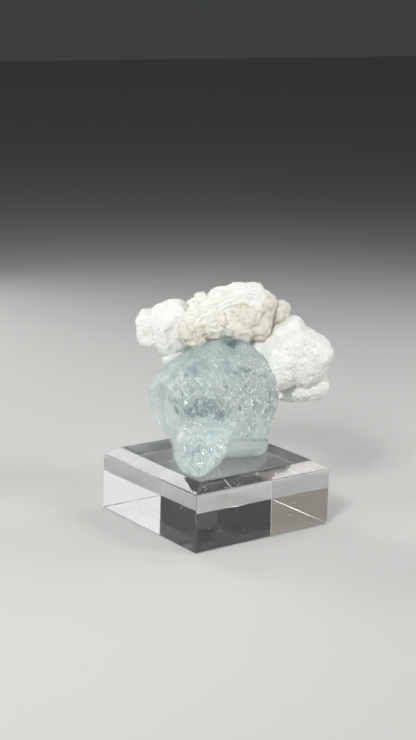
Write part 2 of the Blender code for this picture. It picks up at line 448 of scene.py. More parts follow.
NECK_MIDDLE = (-3.5, -14.2, 19.6)
NECK_REACH = 5.4
BODY_SHARPNESS, FOOT_SHARPNESS = 80, 16
EDGE_ROUNDS, NECK_ROUNDS = 3, 110
CRYSTAL_VOXEL_MM, ALBITE_VOXEL_MM = 0.175, 0.2


def make_crystal_form():
    """The main crystal and its foot as one skin, smoothed where the two have healed together."""
    body = closed_grid_mesh("body", faced_ball(CRYSTAL_HEART, CRYSTAL_FACES, BODY_SHARPNESS))
    foot = closed_grid_mesh("foot", faced_ball(FOOT_HEART, FOOT_FACES, FOOT_SHARPNESS))
    piece = fused("aquamarine", [body, foot], CRYSTAL_VOXEL_MM)
    points, _ = read_points(piece)
    near_neck = np.linalg.norm(points - NECK_MIDDLE, axis=1) < NECK_REACH
    group = piece.vertex_groups.new(name="neck")
    group.add(np.nonzero(near_neck)[0].tolist(), 1.0, "REPLACE")
    for name, rounds, where in (("edges", EDGE_ROUNDS, ""), ("neck", NECK_ROUNDS, "neck")):
        smooth = piece.modifiers.new(name, "SMOOTH")
        smooth.factor, smooth.iterations, smooth.vertex_group = 0.5, rounds, where
    applied(piece)
    piece.vertex_groups.clear()
    return piece


aquamarine = make_crystal_form()
print("aquamarine form:", triangle_count(aquamarine), "triangles")

# %% [markdown]
# ## Etching the aquamarine
#
# Look at etched beryl with a lens: its prism faces carry fine grooves along the crystal's axis, and
# everywhere the fluid has left shallow pits and small flat facets. Three reliefs give that: noise
# stretched along the axis for the grooves, grain noise for the pits, and tilted planes for the facets.
# Real relief, and not bump alone, matters on clear stone, because every dent is a small lens.

# %% Etched relief
CRYSTAL_AXIS = unit(np.array((0.22, 0.05, 0.97)))


def along_axis(points, stretch):
    """Points squeezed along the crystal's axis, so that a noise read there comes out as long grooves."""
    height = points @ CRYSTAL_AXIS
    return points - np.outer(height * (1 - 1 / stretch), CRYSTAL_AXIS)


# Clear windows, painted dark as shade for the dark room seen through them: middle (mm), radii (mm), strength.
CLEAR_WINDOWS_PAINTED_DARK = [
    ((-3.6, -9.5, 24.9), (4.6, 4.0, 2.0), 0.75),
    ((1.2, -9.0, 23.6), (2.6, 4.0, 1.4), 0.6),
    ((4.0, -6.0, 31.0), (2.6, 3.0, 0.9), 0.5),
    ((2.6, -3.0, 35.4), (1.8, 3.0, 0.8), 0.6),
    ((-5.0, -6.5, 30.6), (1.2, 3.0, 1.2), 0.4),
    ((6.0, -8.0, 22.0), (2.6, 4.0, 0.9), 0.25),
]
# A painted highlight: the middle of a bright streak down the left flank (mm).
PAINTED_HIGHLIGHT_STREAK = (-10.9, -4.9, 24.3)


def from_to(values, low, high):
    """0 below low, 1 above high and straight between; low may be the larger of the two."""
    return np.clip((values - low) / (high - low), 0, 1)


def right_and_foot(points):
    """1 on the right part and 1 on the foot, 0 elsewhere."""
    x, y, z = points.T
    return from_to(x, 2.5, 6.0), from_to(z + 0.35 * y, 15.6, 14.0) * from_to(y, -9.0, -11.0)


def etch(piece):
    """Moves each point along its normal by grooves, pits, facets and fine roughness, in mm.

    The grooves are deep on the right and on the foot, the facets crowd into a belt across the front,
    and the left flank and the crown stay smooth.
    """
    points, normals = read_points(piece)
    x, _, z = points.T
    (right, foot), left = right_and_foot(points), from_to(x, -6.0, -8.5)
    crown = from_to(z, 29.5, 31.5)
    belt = (1 - crown) * (1 - left) * (1 - right) * (1 - foot) * from_to(z, 20.5, 23.0)
    squeezed = along_axis(points, 6.0)
    grooves = smooth_noise(squeezed, 0.62, seed=2) + 0.7 * smooth_noise(squeezed, 0.36, seed=4)
    swell = rough_noise(points, 3.2, 2, seed=5)
    pits = np.clip(0.5 - grain_noise(along_axis(points, 1.5), 1.1, seed=3), 0, None)
    facets = facet_noise(along_axis(points, 1.6), 1.5, seed=6)
    chips = facet_noise(points, 0.8, seed=9)
    height = 0.1 * grooves * (0.25 + 0.9 * right + 1.0 * foot)
    height += 0.14 * swell - 0.3 * pits * (0.35 + 0.6 * belt)
    height += 0.28 * facets * (0.2 + 0.85 * belt + 0.5 * right)
    height += 0.16 * chips * (0.2 + 0.7 * belt + 0.7 * right + 0.5 * crown)
    height += 0.025 * smooth_noise(points, 0.32, seed=8)
    write_points(piece, points + normals * height[:, None])


def cloud_the_crystal(piece):
    """How light each point's colour is, painted light included: 1 in the whitest veils and streaks, 0 in
    windows.
    """
    points, _ = read_points(piece)
    x, _, z = points.T
    right, foot = right_and_foot(points)
    squeezed = along_axis(points, 7.0)
    milk_and_painted_light = 0.62 + 0.2 * rough_noise(points, 2.4, 4, seed=50)
    fine = smooth_noise(squeezed, 0.5, seed=54) + 0.4 * smooth_noise(points, 0.9, seed=55)
    streaks = from_to(fine, 0.0, 0.7)
    milk_and_painted_light += (streaks - 0.35) * (0.15 + 0.9 * right + 0.9 * foot)
    left = from_to(x, -5.5, -8.0)
    belt = from_to(np.abs(z - 26.0), 5.5, 2.5) * from_to(x, -8.5, -5.5)
    # Painted light: both flanks are painted lighter, as if lit from the sides and through; the foot and the
    # belt are made lighter too.
    milk_and_painted_light += 0.44 * right + 0.2 * left + 0.28 * foot + 0.14 * belt + 0.08 * from_to(z, 29.5, 27.0)
    milk_and_painted_light += 0.2 * left * smooth_noise(squeezed, 1.0, seed=56)
    # A painted highlight: a bright streak down the left flank, put into the colour.
    from_painted_highlight = np.linalg.norm((points - PAINTED_HIGHLIGHT_STREAK) / (0.45, 0.6, 1.3), axis=1)
    milk_and_painted_light += 0.6 * from_to(from_painted_highlight, 1.0, 0.6)
    ragged = from_to(rough_noise(points, 1.3, 4, seed=58), -0.6, 0.2)
    # Painted shade: the colour is made darker in the windows, for the dark room seen through clear stone.
    clear = 0 * milk_and_painted_light
    for middle, radii, strength in CLEAR_WINDOWS_PAINTED_DARK:
        away = np.linalg.norm((points - middle) / radii, axis=1)
        clear += strength * from_to(away, 1.25, 0.7) * ragged
    clear *= 1.3 + facet_noise(along_axis(points, 1.4), 1.3, seed=59)
    write_attribute(piece, "milk_and_painted_light", milk_and_painted_light - clear)
    sparkle = 0.25 + 0.6 * belt + 0.55 * right + 0.45 * foot - 0.15 * left
    write_attribute(piece, "sparkle", sparkle * (1 - 0.25 * np.clip(clear, 0, 1)))


etch(aquamarine)
cloud_the_crystal(aquamarine)

# %% [markdown]
# ## Aquamarine as a material
#
# Aquamarine is beryl coloured by a trace of iron. It bends light with an index of 1.577, a little more
# than window glass, and its colour is in its depth: thin edges are almost white and thick parts are
# blue-green, so part of the colour belongs to Volume Absorption. Etching leaves the skin slightly frosty,
# which is roughness. A quarter of the light is scattered at the skin instead of passing through, which
# stands for its milky etching and for the fine veils just below. Facets too small for the mesh are random
# tilts of the normal, strongest where the attribute sparkle is high.
# Where sparkle is high the colour also gets painted glints: white and dark specks for tiny facets catching
# the lamps and the dark room.

# %% Aquamarine
PASSED_SHARE = 0.75
FACET_TILT = 1.1
PAINTED_GLINT_SHARE = 0.6
BODY_DENSITY = 7.5
# The ramp's dark end gives the clear windows their painted shade, its light end the milky veils and the
# painted light.
MILK_AND_LIGHT_STOPS = [(0.0, "#1f3a4a"), (0.35, "#9db9ba"), (0.62, "#dceeea"), (1.0, "#ffffff")]
PAINTED_GLINT_STOPS = [(0.36, "#5f7780"), (0.46, "#d3e2df"), (0.52, "#f7fcfb"), (0.58, "#ffffff")]


def make_aquamarine():
    constants = {"IOR": 1.577, "Transmission Weight": PASSED_SHARE}
    material, tree, shader = new_material("etched_aquamarine_beryl", constants)
    place = (add(tree, "TexCoord"), "Object")
    tall = (add(tree, "Mapping", {"Vector": place, "Scale": (1.0, 1.0, 0.5)}), "Vector")
    milk_and_painted_light = add(tree, "Attribute", attribute_name="milk_and_painted_light")
    sparkle = (add(tree, "Attribute", attribute_name="sparkle"), "Fac")
    tint = add(tree, "ValToRGB", {"Fac": (milk_and_painted_light, "Fac")}, MILK_AND_LIGHT_STOPS)
    # Painted glints: white and dark specks in the colour, for tiny facets that catch the lamps and the dark
    # room.
    glint_noise = add(tree, "TexNoise", {"Vector": tall, "Scale": per_mm(0.9), "Detail": 5.0, "Roughness": 0.85})
    painted_glints = add(tree, "ValToRGB", {"Fac": (glint_noise, "Fac")}, PAINTED_GLINT_STOPS)
    share = add(tree, "Math", {0: sparkle, 1: PAINTED_GLINT_SHARE}, operation="MULTIPLY")
    two_tints = {"Factor": (share, "Value"), 6: (tint, "Color"), 7: (painted_glints, "Color")}
    colour = add(tree, "Mix", two_tints, data_type="RGBA")
    frost = add(tree, "TexNoise", {"Vector": place, "Scale": per_mm(1.2), "Detail": 5.0, "Roughness": 0.65})
    noise_range = {"Value": (frost, "Fac"), "From Min": 0.38, "From Max": 0.62}
    frosty = add(tree, "MapRange", {**noise_range, "To Min": 0.04, "To Max": 0.22})
    facets = add(tree, "TexVoronoi", {"Vector": tall, "Scale": per_mm(0.3)})
    broad_facets = add(tree, "TexVoronoi", {"Vector": tall, "Scale": per_mm(0.65)})
    both = add(tree, "VectorMath", {0: (facets, "Color"), 1: (broad_facets, "Color")}, operation="ADD")
    centring = {0: (both, "Vector"), 1: (FACET_TILT,) * 3, 2: (-FACET_TILT,) * 3}
    centred = add(tree, "VectorMath", centring, operation="MULTIPLY_ADD")
    tilted = add(tree, "VectorMath", {0: (centred, "Vector"), "Scale": sparkle}, operation="SCALE")
    surface = add(tree, "NewGeometry")
    facing = add(tree, "VectorMath", {0: (surface, "Normal"), 1: (tilted, "Vector")}, operation="ADD")
    scratches = add(tree, "TexNoise", {"Vector": tall, "Scale": per_mm(0.3), "Detail": 3.0, "Roughness": 0.7})
    relief = {"Height": (scratches, "Fac"), "Normal": (facing, "Vector")}
    bump = add(tree, "Bump", {**relief, "Strength": 0.8, "Distance": 0.12 * MM})
    feed(shader, {"Base Color": (colour, 2), "Roughness": (frosty, "Result"), "Normal": (bump, "Normal")})
    body = add(tree, "VolumeAbsorption", {"Color": linear("#97cabb"), "Density": BODY_DENSITY})
    feed(tree.nodes["Material Output"], {"Volume": (body, "Volume")})
    return material


# A renderer's shadow rays stop at the skin of a clear stone, which then looks darker than a real one.
dress(aquamarine, make_aquamarine())
aquamarine.visible_shadow = False
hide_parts("aquamarine_crystal")

# %% [markdown]
# ## Cracks and veils inside the aquamarine
#
# What makes a natural crystal glitter from within is gas and fluid caught on healed cracks: hundreds of
# flat films, none thicker than a hair. Light that meets such a film at a slant is turned back completely,
# so it looks like silver foil. They could be painted on a sheet, but real little lenses catch the light
# one by one. Each film is a flat seven-sided lens; numpy makes all of them at once.

# %% Films inside the crystal
film_chance = np.random.default_rng(7)
FILM_SIDES = 7
FILM_THICKNESS = 0.03
FLASH_MIDDLES = np.array([(-0.3, -9.9, 22.7), (-5.9, -7.3, 30.0), (7.2, -8.2, 26.6), (-9.6, -4.6, 25.2)])
FLASH_NORMAL = (-0.08, -0.95, 0.26)


def depth_inside(points, heart=CRYSTAL_HEART, faces=CRYSTAL_FACES):
    """How far each point lies inside the space between flat faces, in mm."""
    gaps = [
        distance - (points - heart) @ outward(heading, lift) for heading, lift, distance in faces.values()
    ]
    return np.min(gaps, axis=0)


def films_mesh(name, middles, normals, radii):
    """Flat lenses: a ragged rim round each middle and a tip on each side of it."""
    count = len(middles)
    normals = unit(normals)
    across = unit(np.cross(normals, film_chance.normal(size=(count, 3))))
    along = np.cross(normals, across)
    angle = np.arange(FILM_SIDES) * 2 * np.pi / FILM_SIDES
    reach = radii[:, None] * film_chance.uniform(0.55, 1.15, (count, FILM_SIDES))
    rim = middles[:, None] + (reach * np.cos(angle))[..., None] * across[:, None]
    rim = rim + (reach * np.sin(angle))[..., None] * along[:, None] * 0.75
    tips = np.stack([middles + normals * FILM_THICKNESS, middles - normals * FILM_THICKNESS], axis=1)
    vertices = np.concatenate([rim, tips], axis=1).reshape(-1, 3)
    start = np.arange(count)[:, None] * (FILM_SIDES + 2)
    here, ahead = np.arange(FILM_SIDES), (np.arange(FILM_SIDES) + 1) % FILM_SIDES
    top = np.stack([start + here, start + ahead, start + FILM_SIDES + 0 * here], axis=-1)
    bottom = np.stack([start + ahead, start + here, start + FILM_SIDES + 1 + 0 * here], axis=-1)
    faces = np.concatenate([top, bottom], axis=1).reshape(-1, 3)
    mesh = bpy.data.meshes.new(name)
    mesh.from_pydata(to_world(vertices).tolist(), [], faces.tolist())
    return mesh


def scattered(count, middle, spread, margin=0.6):
    """Points scattered about a middle, kept where the crystal is deeper than the margin."""
    points = np.array(middle) + film_chance.normal(size=(count * 4, 3)) * np.array(spread)
    depth = np.maximum(depth_inside(points), depth_inside(points, FOOT_HEART, FOOT_FACES))
    return points[depth > margin][:count]


def make_films():
    """A band of small glints under the crown's front edge, cracks through the middle, a few big flashes."""
    glints = scattered(800, (0.0, -8.5, 26.8), (6.0, 1.6, 2.4), 0.3)
    cracks = scattered(40, (-1.0, -5.0, 25.5), (5.5, 3.5, 2.6), 1.4)
    crumbs = scattered(500, (0.0, -4.0, 26.0), (6.5, 5.0, 5.0), 0.4)
    right_glints = scattered(700, (8.6, -6.8, 25.0), (1.6, 2.4, 3.2), 0.2)
    foot_glints = scattered(300, (-3.8, -15.5, 17.0), (2.4, 1.6, 2.0), 0.2)
    middles = np.vstack([glints, right_glints, foot_glints, cracks, crumbs, FLASH_MIDDLES])
    near_skin = len(glints) + len(right_glints) + len(foot_glints)
    radii = np.concatenate(
        [
            film_chance.uniform(0.07, 0.3, near_skin),
            film_chance.uniform(0.5, 1.3, len(cracks)),
            film_chance.uniform(0.05, 0.18, len(crumbs)),
            np.full(len(FLASH_MIDDLES), 0.75),
        ]
    )
    normals = film_chance.normal(size=(len(middles), 3)) + (0, -0.5, 0.6)
    normals[-len(FLASH_MIDDLES) :] = FLASH_NORMAL
    return new_piece("crystal_films", films_mesh("crystal_films", middles, normals, radii))


films = make_films()
film_constants = {"Base Color": linear("#eef4f6"), "Metallic": 1.0, "Roughness": 0.12}
dress(films, new_material("gas_film_on_healed_crack", film_constants)[0])
films.data.shade_flat()

# %% [markdown]
# ## The albite's form
#
# The white albite grew after the crystal, in rounded lumps that ran together. Each lump is a ball swollen
# towards a block, a shape with two parameters, set where the real one sits. Remeshing them together keeps
# the deep creases between lumps, which is what makes the mass read as several growths and not as one.

# %% Lumps: middle (mm), radii (mm), squareness, tilt about the depth axis (degrees, right end down)
ALBITE_LUMPS = {
    "left_block": ((-11.9, 6.0, 36.4), (3.9, 4.0, 3.3), 5.0, -6),
    "left_inner": ((-9.0, 6.0, 36.4), (4.6, 4.6, 4.9), 3.2, -22),
    "left_stem": ((-8.4, 6.0, 30.8), (2.4, 3.6, 3.6), 2.4, 12),
    "left_hump": ((-3.5, 4.6, 42.0), (1.7, 2.2, 1.6), 2.4, -20),
    "crown_ridge": ((2.9, 4.6, 41.9), (6.6, 5.4, 3.4), 2.5, -14),
    "crown_right": ((7.7, 4.0, 41.4), (3.2, 4.4, 3.2), 2.6, 22),
    "crown_tail": ((11.5, 5.5, 39.9), (2.0, 2.8, 2.2), 2.6, 10),
    "shoulder": ((-2.8, 2.6, 39.2), (4.2, 4.2, 3.2), 2.6, -30),
    "roll_left": ((-4.7, 1.2, 36.9), (2.9, 3.3, 3.2), 2.5, 10),
    "roll_middle": ((-0.4, 0.8, 38.5), (3.0, 3.4, 3.0), 2.4, -10),
    "roll_right": ((4.4, 0.3, 39.0), (3.6, 3.4, 3.4), 2.5, 12),
    "roll_end": ((8.0, 0.6, 38.0), (2.0, 2.8, 2.5), 2.4, 20),
    "bridge": ((3.3, 4.0, 35.1), (6.0, 4.0, 3.2), 2.4, 0),
    "slab": ((12.4, 2.6, 35.2), (5.3, 4.2, 2.9), 3.8, -36),
    "slab_tip": ((8.4, 1.6, 34.1), (2.3, 2.8, 1.7), 2.4, -36),
    "block": ((16.2, 2.0, 32.2), (5.3, 5.6, 5.3), 3.4, 32),
    "block_face": ((12.5, 0.2, 30.4), (2.9, 4.2, 4.2), 2.8, 0),
    "block_low": ((17.7, 2.5, 26.5), (3.8, 4.0, 3.0), 2.8, -20),
    "lip": ((14.5, 4.5, 24.3), (3.2, 3.2, 1.7), 2.4, 0),
    "rear_top": ((0.7, 10.0, 37.4), (8.4, 4.8, 4.6), 2.6, 0),
    "rear_middle": ((2.8, 12.0, 31.8), (9.0, 4.2, 5.6), 2.8, 0),
    "rear_right": ((10.8, 9.5, 31.1), (5.6, 4.8, 5.4), 2.8, 0),
    "rear_left": ((-5.9, 10.0, 32.4), (4.6, 4.2, 4.8), 2.8, 0),
}


def tilt_matrix(degrees):
    angle = math.radians(degrees)
    return np.array(
        [
            [math.cos(angle), 0.0, math.sin(angle)],
            [0.0, 1.0, 0.0],
            [-math.sin(angle), 0.0, math.cos(angle)],
        ]
    )


def lump_points(middle, radii, squareness, tilt, rows=48, columns=96):
    """A ball's directions d stretched to where the sum of |d / radius| to the squareness is 1."""
    direction = sphere(rows, columns)
    size = (np.abs(direction) ** squareness).sum(-1) ** (1 / squareness)
    on_lump = direction / size[..., None] * np.array(radii)
    return np.array(middle) + on_lump @ tilt_matrix(tilt).T


def lump_depth(points, middle, radii, squareness, tilt):
    """How deep each point is in a lump: 1 at its middle, 0 on its skin, negative outside."""
    inside = (points - np.array(middle)) @ tilt_matrix(tilt) / np.array(radii)
    return 1 - (np.abs(inside) ** squareness).sum(-1) ** (1 / squareness)


def make_albite_form():
    lumps = [closed_grid_mesh(name, lump_points(*shape)) for name, shape in ALBITE_LUMPS.items()]
    return fused("albite", lumps, ALBITE_VOXEL_MM)


albite = make_albite_form()
print("albite form:", triangle_count(albite), "triangles")

# %% [markdown]
# ## Cutting the albite back from the aquamarine
#
# The albite grew against finished crystal faces, so it must end where the crystal begins: a lump that
# reached inside would show as a white ghost through the clear stone. The cutter is the crystal's own
# shape, flat faces and all, a hair larger than the etched one.

# %% Boolean cut with the plain crystal
CONTACT_MM = 0.05


def make_crystal_cutter():
    grown = {name: (h, l, d + CONTACT_MM) for name, (h, l, d) in CRYSTAL_FACES.items()}
    return new_piece("cutter", closed_grid_mesh("cutter", faced_ball(CRYSTAL_HEART, grown, 70, 60, 120)))


def cut_back(piece, cutter):
    cut = piece.modifiers.new("cut", "BOOLEAN")
    cut.operation = "DIFFERENCE"
    cut.object = cutter
    applied(piece)
    bpy.data.objects.remove(cutter)


cut_back(albite, make_crystal_cutter())
print("albite cut back:", triangle_count(albite), "triangles")

# %% [markdown]
# ## The albite's skin
#
# Up close the lumps differ. The crown is folded into thin wavy ledges, like a stack of leaves seen edge
# on. The roll in front of it is knobbly. The right-hand block is sugary, all little grains, and the left
# one is smoother. The same three reliefs make all of them; only their shares change from lump to lump.

# %% Relief of the albite
LEDGED = ("crown_ridge", "shoulder", "left_hump")
KNOBBLY = ("roll_left", "roll_middle", "roll_right", "roll_end", "crown_right", "crown_tail")
SUGARY = ("block", "block_face", "block_low", "rear_right")
SMOOTH = ("left_block", "left_inner", "left_stem", "slab", "slab_tip", "lip")
STAINS = [
    ((8.5, -1.0, 37.2), 3.0, 0.7),
    ((-6.6, -1.5, 35.6), 2.6, 0.5),
    ((-3.0, -2.0, 36.5), 2.4, 0.3),
    ((11.5, 3.0, 39.0), 2.6, 0.4),
    ((-4.5, 0.5, 40.2), 2.2, 0.3),
    ((8.6, 0.0, 41.2), 3.0, 0.35),
    ((5.2, -1.5, 42.4), 2.0, 0.25),
]


def share_of(points, names):
    """1 where the nearest lump is one of these, 0 elsewhere, with a soft border."""
    depth = {name: lump_depth(points, *shape) for name, shape in ALBITE_LUMPS.items()}
    ours = np.max([depth[name] for name in names], axis=0)
    others = np.max([value for name, value in depth.items() if name not in names], axis=0)
    return 1 / (1 + np.exp(-(ours - others) * 25))


def roughen(piece):
    """Moves each point along its normal by bulges, ledges, knobs, corners and grains, in mm."""
    points, normals = read_points(piece)
    warped = points + 0.45 * np.stack(
        [rough_noise(points, 1.5, 2, seed=30 + axis) for axis in range(3)], axis=-1
    )
    knobs = 0.6 - grain_noise(warped, 1.55, seed=14)
    small_knobs = 0.6 - grain_noise(warped, 0.8, seed=15)
    grains = 0.6 - grain_noise(points, 0.5, seed=16)
    corners = facet_noise(warped, 2.6, seed=19)
    rise = points @ np.array((-0.30, 0.35, 0.9)) + 0.03 * np.clip(points[:, 0] - 1, 0, None) ** 2
    rise += 0.9 * rough_noise(points, 3.0, 3, seed=18)
    ledges = 1 - np.abs((rise / 1.15) % 1 * 2 - 1) ** 0.6 * 2
    ledged, knobbly = share_of(points, LEDGED), share_of(points, KNOBBLY)
    sugary, smooth = share_of(points, SUGARY), share_of(points, SMOOTH)
    height = 0.35 * rough_noise(points, 3.4, 2, seed=12)
    height += knobs * (0.12 + 0.55 * knobbly + 0.16 * sugary)
    height += small_knobs * (0.05 + 0.3 * knobbly + 0.16 * sugary)
    height += grains * (0.12 + 0.16 * sugary)
    height += corners * (0.25 * smooth + 0.12 * sugary)
    height += 0.24 * ledges * ledged
    height += 0.05 * rough_noise(points, 0.45, 2, seed=22)
    height *= from_to(-depth_inside(points), 0.05, 0.6)
    write_points(piece, points + normals * height[:, None])


def stain(piece):
    """How creamy each point is: the roll most, its right end browner, the blocks hardly at all."""
    points, _ = read_points(piece)
    cream = 0.25 + 0.55 * share_of(points, KNOBBLY) + 0.15 * share_of(points, LEDGED)
    cream += 0.3 * rough_noise(points, 3.0, 3, seed=24)
    for middle, reach, strength in STAINS:
        cream += strength * from_to(np.linalg.norm(points - middle, axis=1), reach, 0.3 * reach)
    write_attribute(piece, "cream", cream)


roughen(albite)
stain(albite)

# %% [markdown]
# ## Albite as a material
#
# Albite is a white feldspar. As sugary masses it is matt, and light sinks a fraction of a millimetre into
# it before coming back, so its shadows are soft: that is subsurface scattering. Its creases, found by the
# Pointiness of the surface, are painted darker, which is painted shade, and creamier, for an iron stain.

# %% Albite
ALBITE_CONSTANTS = {
    "Roughness": 0.72,
    "Subsurface Weight": 0.35,
    "Subsurface Radius": (1.0, 0.9, 0.75),
    "Subsurface Scale": 0.6 * MM,
}
PALE_STOPS = [(0.2, "#eef0ec"), (0.6, "#e9e9e1"), (1.0, "#e0ddd0")]
CREASE_SHADE_AND_STAIN_STOPS = [(0.2, "#dedcd4"), (0.6, "#d2ccb8"), (1.0, "#bdb192")]


def make_albite():
    material, tree, shader = new_material("sugary_white_albite", ALBITE_CONSTANTS)
    place = add(tree, "TexCoord")
    shape = add(tree, "NewGeometry")
    cream = (add(tree, "Attribute", attribute_name="cream"), "Fac")
    pale = add(tree, "ValToRGB", {"Fac": cream}, PALE_STOPS)
    deep = add(tree, "ValToRGB", {"Fac": cream}, CREASE_SHADE_AND_STAIN_STOPS)
    # Painted shade: the creases get the darker, creamier crease colours.
    crease_shade = add(tree, "ValToRGB", {"Fac": (shape, "Pointiness")}, [(0.42, "#000000"), (0.5, "#ffffff")])
    two_tints = {"Factor": (crease_shade, "Color"), 6: (deep, "Color"), 7: (pale, "Color")}
    colour = add(tree, "Mix", two_tints, data_type="RGBA")
    sugar = add(tree, "TexVoronoi", {"Vector": (place, "Object"), "Scale": per_mm(0.3)})
    bump = add(tree, "Bump", {"Height": (sugar, "Distance"), "Strength": 0.7, "Distance": 0.1 * MM})
    feed(shader, {"Base Color": (colour, 2), "Normal": (bump, "Normal")})
    return material


dress(albite, make_albite())
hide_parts("albite_matrix")

# %% [markdown]
# ## The mineral putty
#
# Clear putty is rolled into a ball and the stone is pressed into it, so it ends as a squat wad with a
# full, rounded rim. It is a squashed ball again, cut by nothing: the crystal simply sinks into it.

# %% Putty
PUTTY_MIDDLE = np.array((0.9, 4.8, 13.9))
PUTTY_RADII = np.array((9.7, 8.8, 2.65))


def make_putty_form():
    """A squashed ball with soft thumb dents, resting on the block."""
    points = lump_points(PUTTY_MIDDLE, PUTTY_RADII, 2.7, 0, 60, 180)
    flat = points.reshape(-1, 3)
    dents = rough_noise(flat, 5.0, 2, seed=40)
    flat = flat + unit(flat - PUTTY_MIDDLE) * dents[:, None] * 0.3
    flat[:, 2] = np.maximum(flat[:, 2], BLOCK_TOP + 0.03)
    return new_piece("putty", closed_grid_mesh("putty", flat.reshape(points.shape)))


putty = make_putty_form()
clear_putty = {"Base Color": linear("#dce3e3"), "Roughness": 0.2, "IOR": 1.45, "Transmission Weight": 0.6}
dress(putty, new_material("clear_mineral_putty", clear_putty)[0])
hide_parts("mineral_putty")

# %% [markdown]
# ## The acrylic block
#
# Cast acrylic is the clearest plastic there is, with an index of 1.49. Its flat faces are already exact in
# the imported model, and flat faces are all that it needs: the bright and dark panes that show in its sides
# are images of the room, turned round by total reflection at its far faces. So the block keeps its solid
# and only gets a material: a faint film of fingerprints, a sawn bevel that is a little rougher, and dull
# narrow edges, told apart by which way their faces look.

# %% Acrylic
BEVEL_NORMAL_Z = 0.857
SQUARE_FACE = 0.995
EDGE_ROUGHNESS = 0.45
BEVEL_ROUGHNESS = 0.1


def make_acrylic():
    constants = {"Base Color": linear("#fbfcfc"), "IOR": 1.49, "Transmission Weight": 1.0}
    material, tree, shader = new_material("polished_cast_acrylic", constants)
    place = (add(tree, "TexCoord"), "Object")
    film = add(tree, "TexNoise", {"Vector": place, "Scale": per_mm(6.0), "Detail": 6.0, "Roughness": 0.7})
    noise_range = {"Value": (film, "Fac"), "From Min": 0.45, "From Max": 0.8}
    haze = add(tree, "MapRange", {**noise_range, "To Min": 0.0, "To Max": 0.04})
    surface = add(tree, "NewGeometry")
    turned = add(tree, "VectorMath", {0: (surface, "True Normal")}, operation="ABSOLUTE")
    parts = add(tree, "SeparateXYZ", {"Vector": (turned, "Vector")})
    sideways = add(tree, "Math", {0: (parts, "X"), 1: (parts, "Y")}, operation="MAXIMUM")
    squarest = add(tree, "Math", {0: (sideways, "Value"), 1: (parts, "Z")}, operation="MAXIMUM")
    slanted = add(tree, "Math", {0: (squarest, "Value"), 1: SQUARE_FACE}, operation="LESS_THAN")
    on_bevel = add(tree, "Math", {0: (parts, "Z"), 1: BEVEL_NORMAL_Z, 2: 0.02}, operation="COMPARE")
    on_edge = add(tree, "Math", {0: (slanted, "Value"), 1: (on_bevel, "Value")}, operation="SUBTRACT")
    rough = (haze, "Result")
    for where, amount in ((on_bevel, BEVEL_ROUGHNESS), (on_edge, EDGE_ROUGHNESS)):
        raised = {0: (where, "Value"), 1: amount, 2: rough}
        rough = (add(tree, "Math", raised, operation="MULTIPLY_ADD"), "Value")
    feed(shader, {"Roughness": rough})
    return material


acrylic = make_acrylic()
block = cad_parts["acrylic_block"]
for material_slot in block.material_slots:
    material_slot.material = acrylic

# %% [markdown]
# ## Dust on the block
#
# Acrylic draws dust. Crumbs of albite have fallen on the block, a thread of lint lies over its front
# edge, and there are a few fine scratches near the corner. Specks are eight-sided grains, so hundreds of
# them cost little, and a thread is a small circle carried along a path. Their places are in the block's
# own axes, in millimetres.

# %% Crumbs, lint and scratches
dust_chance = np.random.default_rng(3)
THREADS = [
    (0.05, [(-5.3, -7.9, 12.75), (-7.8, -12.4, 12.75), (-8.1, -14.4, 12.2), (-7.6, -15.9, 11.0)]),
    (0.045, [(-8.9, -15.3, 11.6), (-8.7, -15.93, 10.6), (-8.1, -15.93, 9.6), (-8.1, -15.93, 8.0)]),
    (0.03, [(-13.8, -14.6, 12.0), (-13.1, -14.4, 12.1), (-13.0, -15.0, 11.8), (-13.8, -15.3, 11.6)]),
    (0.022, [(-15.89, -10.7, 7.2), (-15.89, -12.0, 8.3), (-15.89, -12.9, 9.3)]),
    (0.022, [(-14.9, -15.89, 10.6), (-14.0, -15.89, 9.4), (-13.5, -15.89, 7.8)]),
    (0.022, [(-15.89, -14.2, 10.2), (-15.89, -15.3, 10.7)]),
]
CRUMBS = [
    (-11.0, -12.6), (-9.3, -11.9), (-8.3, -12.5), (-6.3, -11.9), (-5.5, -12.1), (-10.1, 13.0), (3.0, 12.4)
]
GRAIN_COUNT, LEFT_GRAIN_COUNT, CRUMB_COUNT = 150, 100, 520
GRAIN_REACH, GRAIN_TOP = 15.4, 10.9
WALL_PLACE, TOP_PLACE, CRUMB_PLACE = -15.885, 12.72, 12.8


def thread_points(radius, path, steps=60, sides=6):
    """The path resampled evenly and smoothed by neighbour means, with a circle carried along it."""
    path = np.array(path, float)
    lengths = np.linalg.norm(np.diff(path, axis=0), axis=1)
    along = np.concatenate([[0.0], np.cumsum(lengths)])
    even = np.linspace(0, along[-1], steps)
    line = np.stack([np.interp(even, along, path[:, axis]) for axis in range(3)], axis=-1)
    for _ in range(12):
        line[1:-1] = (line[:-2] + 2 * line[1:-1] + line[2:]) / 4
    ahead = unit(np.gradient(line, axis=0))
    side = unit(np.cross(ahead, (0.3, 0.2, 0.93)))
    above = np.cross(side, ahead)
    angle = np.linspace(0, 2 * np.pi, sides, endpoint=False)[None, :, None]
    thickness = np.full((steps, 1, 1), radius)
    thickness[[0, -1]] = 0
    ring = np.cos(angle) * side[:, None] + np.sin(angle) * above[:, None]
    return to_specimen((line[:, None] + thickness * ring) * MM)


